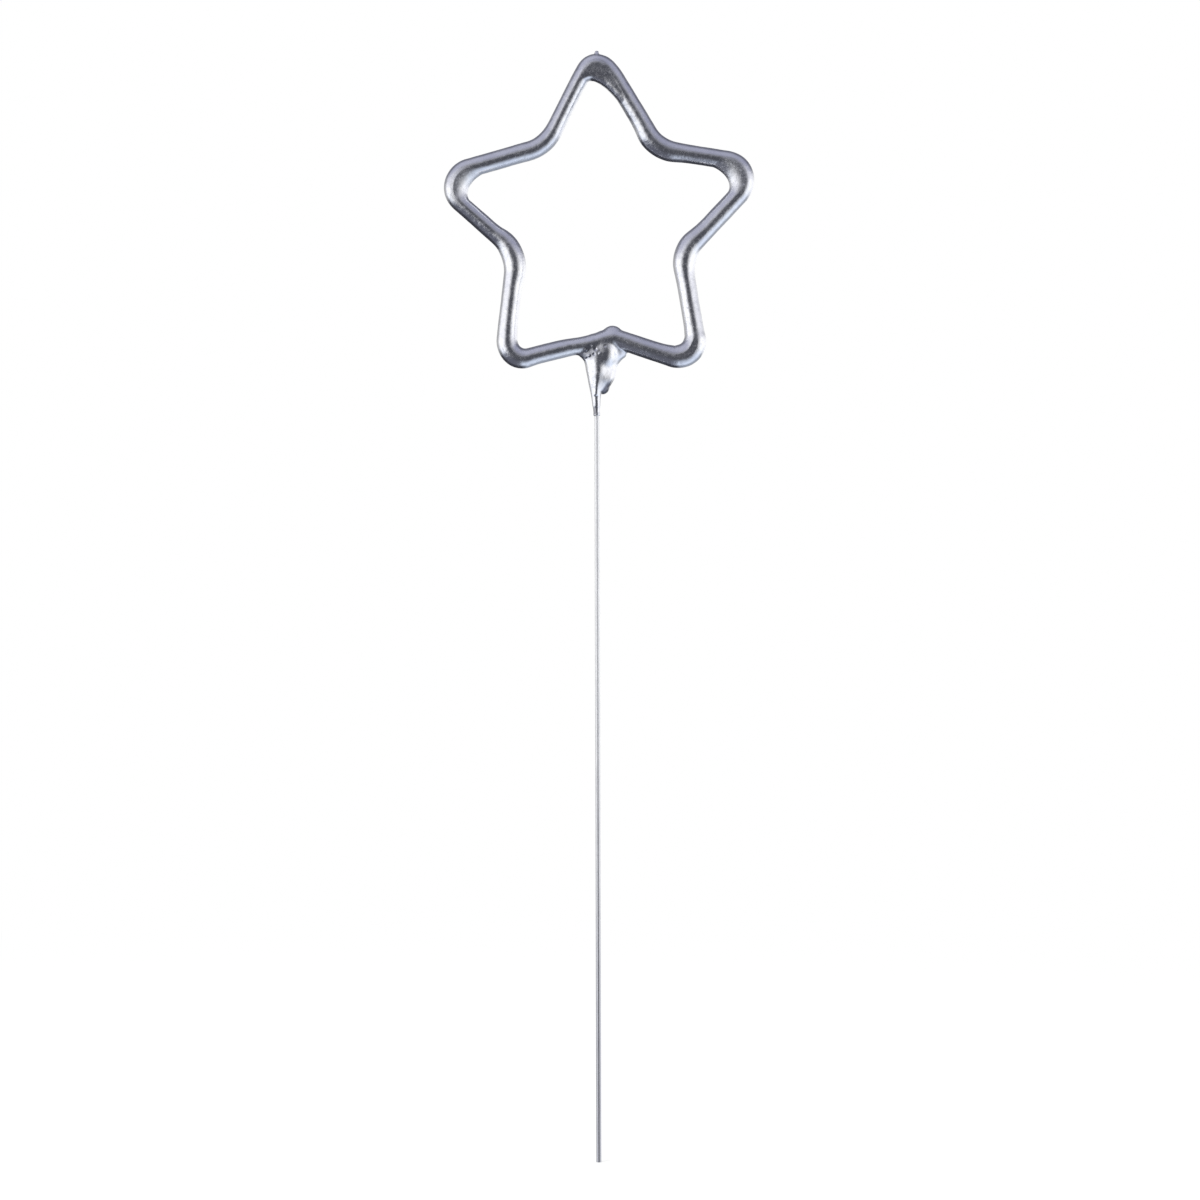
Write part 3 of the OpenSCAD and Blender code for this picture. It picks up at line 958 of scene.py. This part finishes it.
def make_world():
    """A white room. The camera sees it plain white. Gloss also sees its panels: white walls at both
    sides, a grey ceiling, a dark screen round the camera, and a dark table low on the left that
    runs on wider behind the object. Other light gets one plain level."""
    world = bpy.data.worlds.new("white_room")
    bpy.context.scene.world = world
    world.use_nodes = True
    n = Nodes(world.node_tree)
    generated = n.add("ShaderNodeTexCoord").outputs["Generated"]
    right, back, up = n.add("ShaderNodeSeparateXYZ", {"Vector": generated}).outputs
    front = n.math("MULTIPLY", back, -1.0)
    span = n.math("SQRT", n.math("ADD", n.math("POWER", right, 2.0), n.math("POWER", up, 2.0)))
    span = n.math("MAXIMUM", span, LEAST_SPAN)

    overhead = n.blend(n.ramp(right, low=-0.5, high=0.5), CEILING_LEFT, CEILING_RIGHT)
    tone = n.blend(n.ramp(up, low=0.0, high=0.62), grey(WALL_LEVEL), overhead)
    tone = n.blend(n.ramp(up, low=0.0, high=-0.75), tone, GROUND_TONE)
    # towards the table: cosine of the angle in the picture's plane
    towards = n.math(
        "ADD", n.math("MULTIPLY", right, TABLE_WAY[0]), n.math("MULTIPLY", up, TABLE_WAY[1])
    )
    towards = n.math("DIVIDE", towards, span)
    table = n.ramp(towards, low=0.8, high=0.95)
    # it runs on wider behind the object
    beyond = n.math(
        "MULTIPLY", n.ramp(towards, low=0.7, high=0.88), n.ramp(front, low=0.2, high=-0.3)
    )
    tone = n.blend(n.math("MAXIMUM", table, beyond), tone, TABLE_TONE)
    # behind the object the room is darker, except straight to the right
    to_right = n.math("DIVIDE", right, span)
    deep = n.ramp(to_right, low=0.86, high=0.99, to_low=0.62, to_high=0.12)
    behind = n.ramp(front, low=0.15, high=-0.45)
    tone = n.blend(n.math("MULTIPLY", behind, deep), tone, grey(0.0))
    wide = n.math("DIVIDE", n.math("SUBTRACT", right, SCREEN_RIGHT), SCREEN_WIDE)
    tall = n.math("DIVIDE", n.math("ADD", up, SCREEN_DOWN), SCREEN_TALL)
    oval = n.math("ADD", n.math("POWER", wide, 2.0), n.math("POWER", tall, 2.0))
    screen = n.ramp(n.math("SQRT", oval), low=1.5, high=0.45)
    screen = n.math("MULTIPLY", screen, n.ramp(front, low=-0.1, high=0.2))
    tone = n.blend(screen, tone, SCREEN_TONE)

    camera, seen = n.rays()
    tone = n.blend(camera, tone, grey(1.0))
    light = n.blend(seen, grey(PLAIN_LIGHT), tone)
    background = n.add("ShaderNodeBackground", {"Color": light, "Strength": 1.0})
    n.add("ShaderNodeOutputWorld", {"Surface": background.outputs[0]})


def make_floor():
    """A pale floor at the foot. Most of its white is its own, and the rest keeps the shadow."""
    mesh = bpy.data.meshes.new("floor")
    corners = [(x * FLOOR_HALF, y * FLOOR_HALF, 0) for x, y in ((-1, -1), (1, -1), (1, 1), (-1, 1))]
    mesh.from_pydata(corners, [], [(0, 1, 2, 3)])
    floor = bpy.data.objects.new("floor", mesh)
    floor.location.z = -FLOOR_SUNK * MM
    bpy.context.scene.collection.objects.link(floor)
    material, n = new_material("floor_look")
    _, seen = n.rays()
    plain = n.add("ShaderNodeBsdfDiffuse", {"Color": grey(FLOOR_LEVEL)})
    white = n.add("ShaderNodeEmission", {"Color": grey(1.0), "Strength": 1.0})
    # further out the floor is plain white, so that no horizon shows
    own = n.add("ShaderNodeTexCoord").outputs["Object"]
    reach = n.add("ShaderNodeVectorMath", {0: own}, operation="LENGTH").outputs["Value"]
    share = n.math("MULTIPLY", seen, n.ramp(reach, low=0.05, high=0.4, to_low=0.6))
    mixed = n.add("ShaderNodeMixShader", {0: share, 1: plain.outputs[0], 2: white.outputs[0]})
    n.add("ShaderNodeOutputMaterial", {"Surface": mixed.outputs[0]})
    dress(floor, material)
    # the metal mirrors the room's own lower half
    floor.visible_glossy = False


def make_lamp(name, at, size, watts):
    """A square area lamp that looks at the middle of the view."""
    lamp = bpy.data.lights.new(name, "AREA")
    lamp.size = size
    lamp.energy = watts
    thing = bpy.data.objects.new(name, lamp)
    thing.location = at
    thing.rotation_euler = (AIM - Vector(at)).to_track_quat("-Z", "Y").to_euler()
    thing.visible_glossy = False
    bpy.context.scene.collection.objects.link(thing)


def make_camera():
    """The photograph's view: straight at the star, with a slight roll."""
    data = bpy.data.cameras.new("camera")
    data.lens = LENS
    data.sensor_width = SENSOR
    data.sensor_fit = "HORIZONTAL"
    data.clip_start = 0.01
    camera = bpy.data.objects.new("camera", data)
    distance = VIEW_WIDTH * LENS / SENSOR
    x = Vector((1, 0, -LEAN)).normalized()
    y = Vector((LEAN, 0, 1)).normalized()
    z = Vector((0, -1, 0))
    at = AIM + distance * z
    camera.matrix_world = Matrix([(x[i], y[i], z[i], at[i]) for i in range(3)] + [(0, 0, 0, 1)])
    bpy.context.scene.collection.objects.link(camera)
    bpy.context.scene.camera = camera


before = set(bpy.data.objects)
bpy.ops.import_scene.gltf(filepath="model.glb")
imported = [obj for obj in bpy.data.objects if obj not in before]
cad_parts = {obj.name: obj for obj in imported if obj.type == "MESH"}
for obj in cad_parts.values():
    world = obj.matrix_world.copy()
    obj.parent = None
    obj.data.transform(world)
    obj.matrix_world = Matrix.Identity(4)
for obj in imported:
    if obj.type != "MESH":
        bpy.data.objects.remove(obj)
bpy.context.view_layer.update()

skin = silver_skin()
dress(skin, silver_material())
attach(skin, "root")
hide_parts("silver_lacquer")

dress(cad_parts["core_wire"], steel_material())
dress(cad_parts["spark_composition"], mix_material())

make_world()
make_floor()
make_lamp("key", at=(-0.5, -0.6, 0.9), size=0.6, watts=9.0)
make_camera()
bpy.context.scene.view_settings.view_transform = "Standard"
